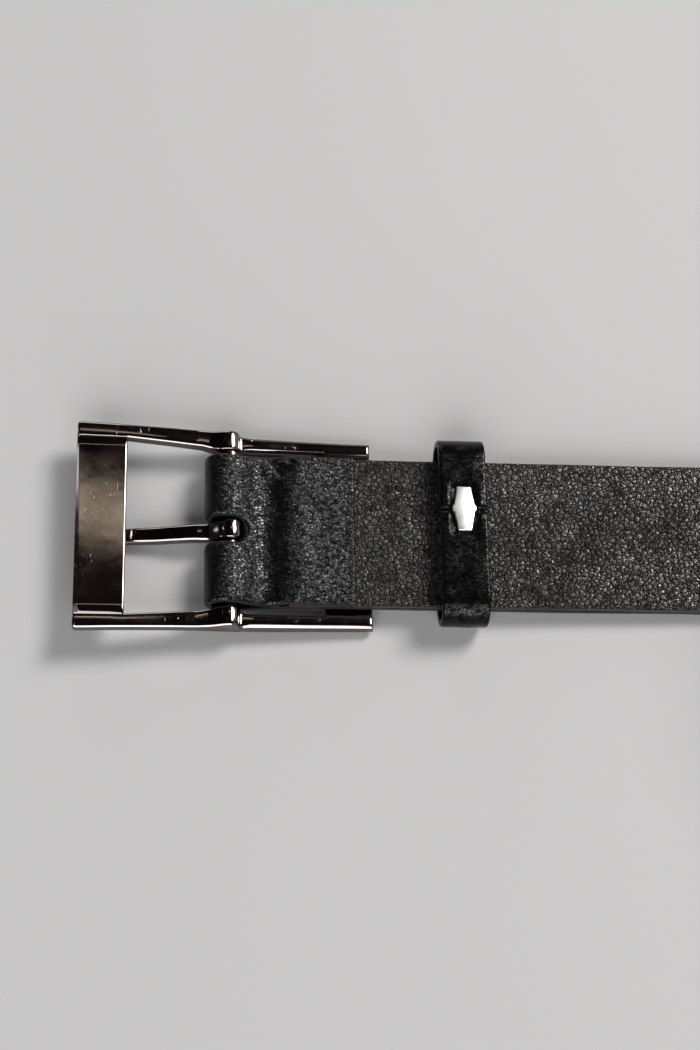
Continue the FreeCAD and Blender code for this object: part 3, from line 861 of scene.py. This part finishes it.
def keep_place(a, y, b):
    """Curve plane (Y, Z) and across (X) to design coordinates, tilted with the strap."""
    ca, sa = math.cos(-math.atan(SLOPE)), math.sin(-math.atan(SLOPE))
    dx, dz = y, b - KZ
    return np.stack([KX + dx * ca - dz * sa, a, KZ + dx * sa + dz * ca], 1)


kv = v_lines(0.4, 0.5, K_W / 2)
L = KEEP.L
ku = [0, 0.05, 0.14, 0.28, 0.45] + graded(0.7, 22.0, 0.35) + graded(22.0, L - 16.0, 0.7) + graded(L - 16.0, L - 0.7, 0.35)
ku += [L - 0.7, L - 0.45, L - 0.28, L - 0.14, L - 0.05, L]
W_REF[0] = K_W / 2
keep_sheet = Sheet(ku, kv, [])


def keep_disp(u, v, x, z):
    top = (z > K_TOP - 0.4)
    d = np.array([n3(a * 0.16, b * 0.22, 6.1) * 0.10 + n3(a * 0.5, b * 0.5, 2.6) * 0.035 for a, b in zip(u, v)])
    yy = x - SEAM_Y
    # pressed recess around the staple, with a raised lip at its sides
    box = np.maximum(np.abs(yy) - 5.0, 0) ** 2 + np.maximum(np.abs(v) - 2.1, 0) ** 2
    d = np.where(top, d - 0.42 * np.exp(-box / 0.7), d)
    lip = np.exp(-((np.abs(v) - 3.6) / 0.6) ** 2) * np.exp(-(yy / 4.4) ** 4)
    d = np.where(top, d + 0.14 * lip, d)
    # both cut ends of the strip dip into the seam
    s = np.minimum(u, L - u)
    d -= 0.34 * np.exp(-(s / 0.55) ** 2)
    return d


keeper_obj = build_sheet("keeper_strip", keep_sheet, KEEP, 0.0, K_T, 0.5, 0.3, disp=keep_disp, place=keep_place)
W_REF[0] = W

# ------------------------------------------------------------------- staple
ST_T = 0.7


def staple_outline():
    """Half outline of the staple's back: narrow ends, a lozenge middle with side nubs."""
    right = [(-5.25, 1.38), (-5.05, 1.60), (-3.2, 1.88), (-1.7, 2.20), (-0.95, 2.30), (-0.70, 2.52), (-0.40, 2.72), (0.40, 2.72), (0.70, 2.52),
             (0.95, 2.30), (1.7, 2.20), (3.2, 1.88), (5.05, 1.60), (5.25, 1.38)]
    pts = [(y, x) for y, x in right] + [(y, -x) for y, x in reversed(right)]
    return pts


def staple_mesh():
    out = staple_outline()
    bm = bmesh.new()
    z_lo, z_hi = K_TOP - 0.30, K_TOP + ST_T

    def P(y, x, z):
        return tuple(K(keep_place(np.array([SEAM_Y + y]), np.array([x]), np.array([z])))[0])

    lo = [bm.verts.new(P(y, x, z_lo)) for y, x in out]
    up = [bm.verts.new(P(y, x, z_hi - 0.10 * (abs(y) / 5.4) ** 2)) for y, x in out]
    bm.faces.new(up)
    bm.faces.new(list(reversed(lo)))
    for k in range(len(out)):
        k2 = (k + 1) % len(out)
        bm.faces.new((lo[k], lo[k2], up[k2], up[k]))
    bmesh.ops.recalc_face_normals(bm, faces=bm.faces)
    me = bpy.data.meshes.new("staple")
    bm.to_mesh(me)
    bm.free()
    ob = bpy.data.objects.new("keeper_staple_clip", me)
    bpy.context.scene.collection.objects.link(ob)
    mod = ob.modifiers.new("bev", "BEVEL")
    mod.width, mod.segments, mod.limit_method, mod.angle_limit = 0.00022, 3, "ANGLE", math.radians(40)
    bpy.context.view_layer.update()
    dg = bpy.context.evaluated_depsgraph_get()
    me2 = bpy.data.meshes.new_from_object(ob.evaluated_get(dg))
    ob.modifiers.clear()
    ob.data = me2
    return ob


staple_obj = staple_mesh()
for s in (-1, 1):
    y0 = s * 4.75
    rings = []
    z_in = K_TOP - K_T
    path = [(y0, K_TOP + ST_T - 0.25), (y0, K_TOP - 0.4), (y0, z_in + 0.1), (y0, z_in - 0.10), (y0 - s * 0.25, z_in - 0.27),
            (y0 - s * 0.7, z_in - 0.30), (y0 - s * 3.6, z_in - 0.27), (y0 - s * 3.9, z_in - 0.2)]
    for k, (yy, zz) in enumerate(path):
        a = path[max(k - 1, 0)]
        b = path[min(k + 1, len(path) - 1)]
        ty, tz = b[0] - a[0], b[1] - a[1]
        q = math.hypot(ty, tz)
        ny, nz = -tz / q, ty / q
        th = 0.42 if k < len(path) - 1 else 0.2
        ring = [(SEAM_Y + yy + ny * b2, a2, zz + nz * b2) for a2, b2 in rrect(1.8, th, 0.12, 0.12, 2)]
        A = np.array([r[0] for r in ring])
        rings.append(keep_place(A, np.array([r[1] for r in ring]), np.array([r[2] for r in ring])))
    V, F = loft(rings)
    leg = add_mesh("leg", V, F)
    staple_obj = joined(staple_obj, leg)
for p in staple_obj.data.polygons:
    p.use_smooth = True
sharp_by_angle(staple_obj, 30)

# ================================================================ materials
def new_mat(name):
    m = bpy.data.materials.new(name)
    m.use_nodes = True
    nt = m.node_tree
    nt.nodes.clear()
    out = nt.nodes.new("ShaderNodeOutputMaterial")
    b = nt.nodes.new("ShaderNodeBsdfPrincipled")
    nt.links.new(b.outputs["BSDF"], out.inputs["Surface"])
    return m, nt, b


class N(object):
    """Small helper for wiring shader nodes."""

    def __init__(self, nt):
        self.nt = nt
        self.co = nt.nodes.new("ShaderNodeTexCoord").outputs["Object"]

    def mapping(self, scale=(1, 1, 1), rot=(0, 0, 0), loc=(0, 0, 0), src=None):
        n = self.nt.nodes.new("ShaderNodeMapping")
        n.inputs["Scale"].default_value = scale
        n.inputs["Rotation"].default_value = rot
        n.inputs["Location"].default_value = loc
        self.nt.links.new(src or self.co, n.inputs["Vector"])
        return n.outputs["Vector"]

    def noise(self, scale, detail=3.0, rough=0.5, src=None, distort=0.0):
        n = self.nt.nodes.new("ShaderNodeTexNoise")
        n.inputs["Scale"].default_value = scale
        n.inputs["Detail"].default_value = detail
        n.inputs["Roughness"].default_value = rough
        n.inputs["Distortion"].default_value = distort
        self.nt.links.new(src or self.co, n.inputs["Vector"])
        return n.outputs["Fac"]

    def voronoi(self, scale, feature="F1", src=None, rand=1.0, smooth=None):
        n = self.nt.nodes.new("ShaderNodeTexVoronoi")
        n.feature = feature
        n.inputs["Scale"].default_value = scale
        n.inputs["Randomness"].default_value = rand
        if smooth is not None and feature == "SMOOTH_F1":
            n.inputs["Smoothness"].default_value = smooth
        self.nt.links.new(src or self.co, n.inputs["Vector"])
        return n.outputs["Distance"]

    def warp(self, src, scale, amount):
        """src pushed about by a coloured noise."""
        n = self.nt.nodes.new("ShaderNodeTexNoise")
        n.inputs["Scale"].default_value = scale
        n.inputs["Detail"].default_value = 2.0
        self.nt.links.new(src, n.inputs["Vector"])
        s = self.nt.nodes.new("ShaderNodeVectorMath")
        s.operation = "SUBTRACT"
        self.nt.links.new(n.outputs["Color"], s.inputs[0])
        s.inputs[1].default_value = (0.5, 0.5, 0.5)
        k = self.nt.nodes.new("ShaderNodeVectorMath")
        k.operation = "SCALE"
        self.nt.links.new(s.outputs[0], k.inputs[0])
        k.inputs["Scale"].default_value = amount
        a = self.nt.nodes.new("ShaderNodeVectorMath")
        a.operation = "ADD"
        self.nt.links.new(src, a.inputs[0])
        self.nt.links.new(k.outputs[0], a.inputs[1])
        return a.outputs[0]

    def math(self, op, a, b=None, clamp=False):
        n = self.nt.nodes.new("ShaderNodeMath")
        n.operation = op
        n.use_clamp = clamp
        for i, v in enumerate((a, b)):
            if v is None:
                continue
            if isinstance(v, (int, float)):
                n.inputs[i].default_value = v
            else:
                self.nt.links.new(v, n.inputs[i])
        return n.outputs[0]

    def remap(self, v, a0, a1, b0, b1):
        n = self.nt.nodes.new("ShaderNodeMapRange")
        n.inputs["From Min"].default_value = a0
        n.inputs["From Max"].default_value = a1
        n.inputs["To Min"].default_value = b0
        n.inputs["To Max"].default_value = b1
        self.nt.links.new(v, n.inputs["Value"])
        return n.outputs["Result"]

    def mix(self, f, a, b):
        n = self.nt.nodes.new("ShaderNodeMix")
        n.data_type = "RGBA"
        if isinstance(f, (int, float)):
            n.inputs["Factor"].default_value = f
        else:
            self.nt.links.new(f, n.inputs["Factor"])
        for i, v in ((6, a), (7, b)):
            if isinstance(v, tuple):
                n.inputs[i].default_value = v + (1.0,) if len(v) == 3 else v
            else:
                self.nt.links.new(v, n.inputs[i])
        return n.outputs[2]

    def bump(self, h, strength, dist, prev=None):
        n = self.nt.nodes.new("ShaderNodeBump")
        n.inputs["Strength"].default_value = strength
        n.inputs["Distance"].default_value = dist
        self.nt.links.new(h, n.inputs["Height"])
        if prev is not None:
            self.nt.links.new(prev, n.inputs["Normal"])
        return n.outputs["Normal"]

    def xyz(self, src=None):
        n = self.nt.nodes.new("ShaderNodeSeparateXYZ")
        self.nt.links.new(src or self.co, n.inputs[0])
        return n.outputs


def face_leather_mat(name, base=(0.0009, 0.0009, 0.0009), rough=0.20, grain=0.66, gloss=0.52):
    m, nt, b = new_mat(name)
    q = N(nt)
    w = q.warp(q.mapping(scale=(0.80, 1.25, 1.0)), 900.0, 0.0006)
    crease = q.voronoi(1250.0, "DISTANCE_TO_EDGE", src=w)
    cre2 = q.voronoi(2000.0, "DISTANCE_TO_EDGE", src=w)
    wr = q.noise(1000.0, 1.0, 0.5, src=w)
    broad = q.noise(110.0, 3.0, 0.5)
    groove = q.remap(crease, 0.0, 0.20, 0.0, 1.0)
    g2 = q.remap(cre2, 0.0, 0.18, 0.0, 1.0)
    h = q.math("ADD", q.math("MULTIPLY", groove, 0.55), q.math("MULTIPLY", g2, 0.45))
    h = q.math("ADD", h, q.math("MULTIPLY", wr, 1.1))
    n1 = q.bump(broad, 0.5, 0.00012 * grain)
    n2 = q.bump(h, 1.0, 0.000095 * grain, n1)
    nt.links.new(n2, b.inputs["Normal"])
    hi = tuple(c * 2.4 for c in base)
    nt.links.new(q.mix(q.remap(wr, 0.40, 0.70, 0.0, 1.0), base, hi), b.inputs["Base Color"])
    # painted shade: the specular tint goes near black in the grain's creases, so the creases stay dark under any lamp;
    # the wr noise also dulls the gloss in random patches
    lit = q.math("MULTIPLY", q.math("MULTIPLY", groove, q.remap(g2, 0.0, 1.0, 0.10, 1.0)), q.remap(wr, 0.40, 0.56, 0.10, 1.0))
    nt.links.new(q.mix(lit, (0.02, 0.02, 0.02), (1.0, 1.0, 1.0)), b.inputs["Specular Tint"])
    nt.links.new(q.remap(q.noise(260.0, 4.0, 0.6), 0.3, 0.7, rough - 0.03, rough + 0.05), b.inputs["Roughness"])
    b.inputs["Specular IOR Level"].default_value = gloss
    return m


def lining_mat():
    m, nt, b = new_mat("lining_leather_pebble")
    q = N(nt)
    w = q.warp(q.mapping(scale=(1.0, 1.0, 1.0)), 520.0, 0.0013)
    cell = q.voronoi(860.0, "F1", src=w)
    crease = q.voronoi(860.0, "DISTANCE_TO_EDGE", src=w)
    w2 = q.warp(q.co, 1400.0, 0.0006)
    cre2 = q.voronoi(1700.0, "DISTANCE_TO_EDGE", src=w2)
    wr = q.noise(300.0, 4.0, 0.6)
    fine = q.noise(2600.0, 3.0, 0.6)
    big = q.noise(55.0, 3.0, 0.5)
    lump = q.math("SUBTRACT", 1.0, q.remap(cell, 0.0, 0.95, 0.0, 1.0), clamp=True)
    groove = q.remap(crease, 0.0, 0.15, 0.0, 1.0)
    g2 = q.remap(cre2, 0.0, 0.16, 0.0, 1.0)
    h = q.math("ADD", q.math("MULTIPLY", groove, 0.50), q.math("ADD", q.math("MULTIPLY", lump, 0.60), q.math("MULTIPLY", g2, 0.30)))
    n1 = q.bump(wr, 0.6, 0.0002)
    n2 = q.bump(h, 1.0, 0.00014, n1)
    n3_ = q.bump(fine, 0.5, 0.00004, n2)
    nt.links.new(n3_, b.inputs["Normal"])
    # painted shade: the mask g darkens the base colour and the specular tint in the pebble grain's creases; tone varies
    # the gloss at random
    g = q.math("MULTIPLY", groove, q.remap(g2, 0.0, 1.0, 0.15, 1.0))
    nt.links.new(q.mix(g, (0.0003, 0.0003, 0.0003), (0.0030, 0.0029, 0.0027)), b.inputs["Base Color"])
    tone = q.remap(q.math("ADD", q.math("MULTIPLY", big, 0.35), q.math("MULTIPLY", wr, 0.65)), 0.38, 0.60, 0.20, 1.0)
    nt.links.new(q.mix(q.math("MULTIPLY", tone, g), (0.03, 0.03, 0.03), (1.0, 0.99, 0.95)), b.inputs["Specular Tint"])
    nt.links.new(q.remap(fine, 0.3, 0.7, 0.24, 0.34), b.inputs["Roughness"])
    b.inputs["Specular IOR Level"].default_value = 0.58
    return m


def edge_mat(name="edge_paint", base=(0.0045, 0.0042, 0.0044)):
    m, nt, b = new_mat(name)
    q = N(nt)
    s = q.mapping(scale=(1.0, 1.0, 5.0))
    a = q.noise(700.0, 4.0, 0.6, src=s)
    c = q.noise(120.0, 3.0, 0.5)
    n1 = q.bump(a, 0.35, 0.00012)
    n2 = q.bump(c, 0.3, 0.0004, n1)
    nt.links.new(n2, b.inputs["Normal"])
    nt.links.new(q.mix(q.remap(a, 0.35, 0.7, 0.0, 1.0), tuple(x * 0.7 for x in base), tuple(x * 1.9 for x in base)), b.inputs["Base Color"])
    nt.links.new(q.remap(a, 0.3, 0.7, 0.38, 0.56), b.inputs["Roughness"])
    return m


def metal_mat(name, base, rough, scratch=0.5, smudge=0.5, tint=None):
    m, nt, b = new_mat(name)
    q = N(nt)
    b.inputs["Metallic"].default_value = 1.0
    sm = q.noise(150.0, 4.0, 0.65)
    fog = q.noise(38.0, 2.0, 0.5)
    # fine scratches, two families at slanting angles, laid over the flats
    s1 = q.noise(1.0, 2.0, 0.5, src=q.mapping(scale=(9000.0, 420.0, 500.0), rot=(0, 0, math.radians(38))))
    s2 = q.noise(1.0, 2.0, 0.5, src=q.mapping(scale=(7000.0, 300.0, 400.0), rot=(0, 0, math.radians(-27))))
    l1 = q.remap(s1, 0.69, 0.77, 0.0, 1.0)
    l2 = q.remap(s2, 0.72, 0.80, 0.0, 1.0)
    lines = q.math("MAXIMUM", l1, l2)
    lines = q.math("MULTIPLY", lines, q.remap(q.noise(90.0, 2.0, 0.5), 0.42, 0.62, 0.0, 1.0))
    r = q.remap(sm, 0.35, 0.75, rough, rough + 0.10 * smudge)
    r = q.math("ADD", r, q.math("MULTIPLY", lines, 0.30 * scratch), clamp=True)
    nt.links.new(r, b.inputs["Roughness"])
    dark = tuple(c * 0.80 for c in base)
    col = q.mix(q.remap(fog, 0.35, 0.65, 0.0, 1.0), dark, base)
    col = q.mix(q.math("MULTIPLY", lines, 0.6 * scratch), col, tint or tuple(min(1.0, c * 2.6 + 0.05) for c in base))
    nt.links.new(col, b.inputs["Base Color"])
    n1 = q.bump(q.noise(240.0, 2.0, 0.5), 0.10, 0.00010)
    n2 = q.bump(lines, 0.25 * scratch, 0.00002, n1)
    nt.links.new(n2, b.inputs["Normal"])
    return m


LEATHER = face_leather_mat("face_leather_grain")
KEEPER_M = face_leather_mat("keeper_leather_grain", rough=0.18, grain=0.12, gloss=0.22)
LINING = lining_mat()
EDGE = edge_mat()
CORE = edge_mat("core_board_fibre", (0.020, 0.017, 0.015))
GUN = metal_mat("gunmetal_polish", (0.185, 0.160, 0.154), 0.06, 1.0, 0.7)
PIN_M = metal_mat("pin_steel_dark", (0.20, 0.18, 0.17), 0.20, 0.4, 0.8)
NICKEL = metal_mat("staple_nickel_bright", (0.50, 0.49, 0.47), 0.34, 1.0, 0.8)

for ob, mats in ((face_obj, [LEATHER, EDGE]), (lining_obj, [LINING, EDGE]), (core_obj, [CORE]), (frame_obj, [GUN]), (prong_obj, [GUN]),
                 (pin_obj, [PIN_M]), (keeper_obj, [KEEPER_M, EDGE]), (staple_obj, [NICKEL])):
    ob.data.materials.clear()
    for m_ in mats:
        ob.data.materials.append(m_)


def paint_edges(ob, inner_too=False):
    """Rim walls take the edge paint."""
    me = ob.data
    n = len(me.vertices)
    half = ob["skin"]
    flags = []
    for p in me.polygons:
        k = max(p.vertices)
        flags.append(1 if k >= 2 * half else 0)
    me.polygons.foreach_set("material_index", flags)
    _ = n, inner_too


for ob in (face_obj, lining_obj, keeper_obj):
    paint_edges(ob)

# ---------------------------------------------------------------- bodies
for ob, body, nodes, slot in (
        (face_obj, "strap", ["face_leather"], "face_leather"),
        (lining_obj, "strap", ["lining_leather"], "lining_leather"),
        (core_obj, "strap", ["strap_core"], "core_board"),
        (frame_obj, "buckle", ["buckle_frame"], "gunmetal"),
        (pin_obj, "buckle", ["centre_pin"], "pin_steel"),
        (prong_obj, "prong", ["prong"], "gunmetal"),
        (keeper_obj, "keeper", ["keeper_loop"], "keeper_leather"),
        (staple_obj, "keeper", ["keeper_staple"], "staple_nickel")):
    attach(ob, body)
    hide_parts(*nodes)

# ---------------------------------------------------------------- stage
floor = bpy.data.meshes.new("floor")
floor.from_pydata([(-3, -3, 0), (3, -3, 0), (3, 3, 0), (-3, 3, 0)], [], [(0, 1, 2, 3)])
floor_ob = bpy.data.objects.new("floor", floor)
bpy.context.scene.collection.objects.link(floor_ob)
floor_ob.location.z = -0.00005
fm, fnt, fb = new_mat("floor_paper")
fb.inputs["Base Color"].default_value = (0.24, 0.24, 0.2415, 1)
fb.inputs["Roughness"].default_value = 0.95
fb.inputs["Specular IOR Level"].default_value = 0.0
floor.materials.append(fm)

scene = bpy.context.scene
world = bpy.data.worlds.new("studio")
scene.world = world
world.use_nodes = True
wn = world.node_tree
bg = wn.nodes["Background"]
wc = wn.nodes.new("ShaderNodeTexCoord")
# dark round the way the flat leather mirrors, bright in a broad ring outside it
wd = wn.nodes.new("ShaderNodeVectorMath")
wd.operation = "DOT_PRODUCT"
wn.links.new(wc.outputs["Generated"], wd.inputs[0])
wd.inputs[1].default_value = (0.07, 0.36, 0.93)
wr_ = wn.nodes.new("ShaderNodeValToRGB")
wn.links.new(wd.outputs["Value"], wr_.inputs["Fac"])
els = wr_.color_ramp.elements
els[0].position, els[0].color = 0.0, (1.0, 1.0, 1.0, 1)
els[1].position, els[1].color = 0.80, (0.040, 0.030, 0.031, 1)
for pos_, c_ in ((0.45, (1.0, 1.0, 1.0, 1)), (0.64, (0.22, 0.215, 0.215, 1)), (1.0, (0.034, 0.025, 0.026, 1))):
    e_ = els.new(pos_)
    e_.color = c_
# less from the -X side
wx = wn.nodes.new("ShaderNodeSeparateXYZ")
wn.links.new(wc.outputs["Generated"], wx.inputs[0])
wl = wn.nodes.new("ShaderNodeMapRange")
wl.inputs["From Min"].default_value = -0.85
wl.inputs["From Max"].default_value = 0.10
wl.inputs["To Min"].default_value = 0.06
wl.inputs["To Max"].default_value = 1.0
wn.links.new(wx.outputs["X"], wl.inputs["Value"])
wm = wn.nodes.new("ShaderNodeVectorMath")
wm.operation = "SCALE"
wn.links.new(wr_.outputs["Color"], wm.inputs[0])
wn.links.new(wl.outputs["Result"], wm.inputs["Scale"])
wn.links.new(wm.outputs["Vector"], bg.inputs["Color"])
bg.inputs["Strength"].default_value = 0.55


def area(name, pos, target, size, power, color=(1, 1, 1), size_y=None):
    l = bpy.data.lights.new(name, "AREA")
    l.energy = power
    l.color = color
    l.size = size
    if size_y:
        l.shape = "RECTANGLE"
        l.size_y = size_y
    o = bpy.data.objects.new(name, l)
    scene.collection.objects.link(o)
    o.location = pos
    d = Vector(target) - Vector(pos)
    o.rotation_euler = d.to_track_quat("-Z", "Y").to_euler()
    return o


C = Vector((PX + 0.03, SY, 0.0))
area("key", C + Vector((0.52, 0.40, 0.75)) * 1.6, C, 0.60, 47.0, (1.0, 0.99, 0.97))
area("front", C + Vector((-0.10, -0.85, 0.52)) * 2.0, C, 1.9, 89.0, (1.0, 0.995, 0.99))
area("back", C + Vector((-0.15, 0.93, 0.33)) * 2.0, C, 0.9, 10.0, (0.98, 0.99, 1.0))
area("side", C + Vector((-0.92, 0.36, 0.22)) * 1.0, C + Vector((-0.1, 0, 0)), 0.05, 0.16, (1.0, 1.0, 1.0), 0.34)
area("panel", C + Vector((0.02, 0.336, 0.86)), C + Vector((-0.06, 0, 0)), 0.14, 0.025, (1.0, 0.90, 0.70), 0.032)

cam_d = bpy.data.cameras.new("cam")
cam_d.lens = 72.94
cam_d.sensor_width = 36.0
cam_d.sensor_fit = "AUTO"
cam_d.clip_start = 0.01
cam_d.clip_end = 20.0
cam = bpy.data.objects.new("cam", cam_d)
scene.collection.objects.link(cam)
cam.location = Vector(tuple(K([(-5.44, -171.99, 450.65)])[0]))
cam.rotation_euler = (math.radians(21.373), math.radians(-3.701), math.radians(-0.974))
scene.camera = cam
scene.view_settings.view_transform = "Standard"
scene.view_settings.look = "None"
